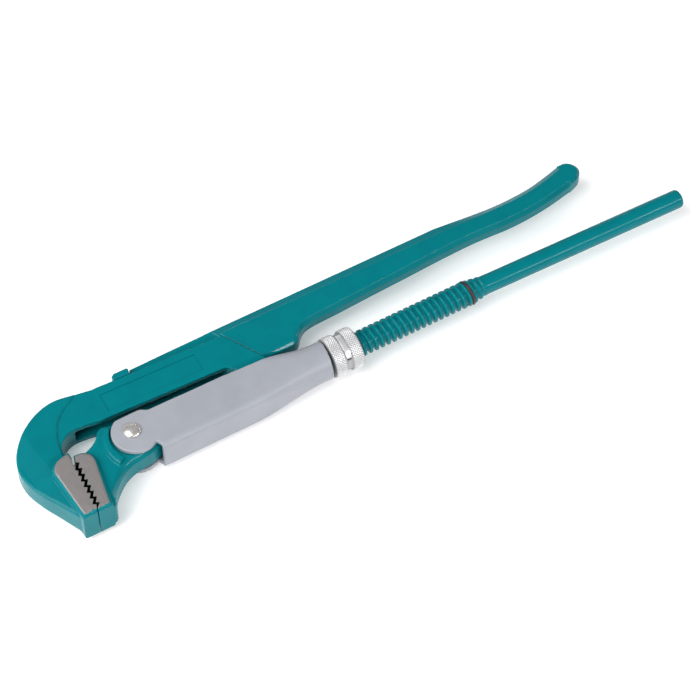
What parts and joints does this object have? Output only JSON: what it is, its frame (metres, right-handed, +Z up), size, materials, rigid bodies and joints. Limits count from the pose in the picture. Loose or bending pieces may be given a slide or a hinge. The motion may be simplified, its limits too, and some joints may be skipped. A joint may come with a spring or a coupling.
{
  "type": "pipe wrench",
  "caption": "Right-angled Swedish-pattern pipe wrench: forked hook jaw, rocking short jaw on a sliding sleeve, knurled nut on a threaded rod, and two squeeze handles.",
  "frame": {"origin": "centre of the lowest face of the box round the tool as it lies on its side, jaws nearly closed", "axes": "+X along the threaded rod from the jaws to the grip; +Y from the rod to the upper handle; +Z up, square to the flat of the tool"},
  "size_m": [0.3264, 0.0644, 0.0206],
  "materials": {
    "teal_enamel": "glossy enamel over forged steel, with bare ground pads at the teeth",
    "grey_paint": "smooth satin paint over folded sheet steel",
    "pin_steel": "bright turned steel",
    "zinc_plate": "bright zinc plating over knurled steel",
    "browned_steel": "dark brown oxide on spring wire"
  },
  "bodies": {
    "rod": {"threaded_rod": "teal_enamel", "stop_ring": "browned_steel", "rod_pin": "pin_steel"},
    "handle": {"upper_handle": "teal_enamel", "hook_pin": "pin_steel"},
    "hook": {"hook_jaw": "teal_enamel"},
    "sleeve": {"sleeve": "grey_paint", "jaw_rivet": "pin_steel"},
    "short_jaw": {"short_jaw": "teal_enamel"},
    "nut": {"adjusting_nut": "zinc_plate", "nut_clip": "zinc_plate"}
  },
  "joints": [
    {"name": "sleeve_slide", "type": "slide", "parent": "rod", "child": "sleeve", "axis": [1, 0, 0], "range_m": [0, 0.045]},
    {"name": "nut_turn", "type": "hinge", "parent": "sleeve", "child": "nut", "pos_m": [-0.01322, -0.0073, 0.0103], "axis": [1, 0, 0], "range_deg": [0, 5415]},
    {"name": "handle_squeeze", "type": "hinge", "parent": "rod", "child": "handle", "pos_m": [-0.05022, -0.0088, 0.0103], "axis": [0, 0, -1], "range_deg": [0, 5.5]},
    {"name": "hook_pull", "type": "hinge", "parent": "handle", "child": "hook", "pos_m": [-0.05022, -0.0003, 0.0103], "axis": [0, 0, 1], "range_deg": [0, 5.5]},
    {"name": "jaw_rock", "type": "hinge", "parent": "sleeve", "child": "short_jaw", "pos_m": [-0.11322, -0.0035, 0.0103], "axis": [0, 0, 1], "range_deg": [0, 2]}
  ],
  "couplings": [
    {"joint": "nut_turn", "follows": "sleeve_slide", "rad_per_m": 2094.4},
    {"joint": "hook_pull", "follows": "handle_squeeze", "ratio": 1},
    {"joint": "jaw_rock", "follows": "handle_squeeze", "ratio": 0.33}
  ]
}
